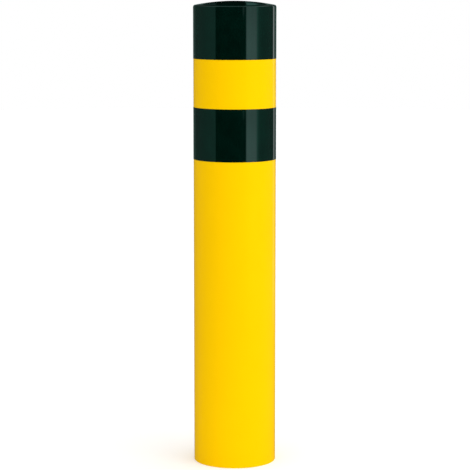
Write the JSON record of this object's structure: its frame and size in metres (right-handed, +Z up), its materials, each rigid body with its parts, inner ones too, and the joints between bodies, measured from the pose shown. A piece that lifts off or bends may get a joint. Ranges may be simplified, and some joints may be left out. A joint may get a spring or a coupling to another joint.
{
  "type": "steel bollard",
  "caption": "Upright round steel tube bollard with a shallow domed cap, yellow with glossy black film bands round its top.",
  "frame": {"origin": "centre of the foot, on the floor that the tube stands on", "axes": "+Z up along the tube's axis; -Y is the front, and the laps in the film bands are at the back, +Y"},
  "size_m": [0.2202, 0.2204, 1.2358],
  "materials": {
    "yellow_powder_coat": "smooth semi-gloss signal yellow powder coat with a fine orange peel",
    "black_enamel": "glossy green-tinged black enamel",
    "black_film": "glossy green-tinged black self-adhesive film"
  },
  "bodies": {
    "root": {"post_tube": "yellow_powder_coat", "domed_cap": "black_enamel", "upper_black_band": "black_film", "lower_black_band": "black_film"}
  },
  "joints": []
}
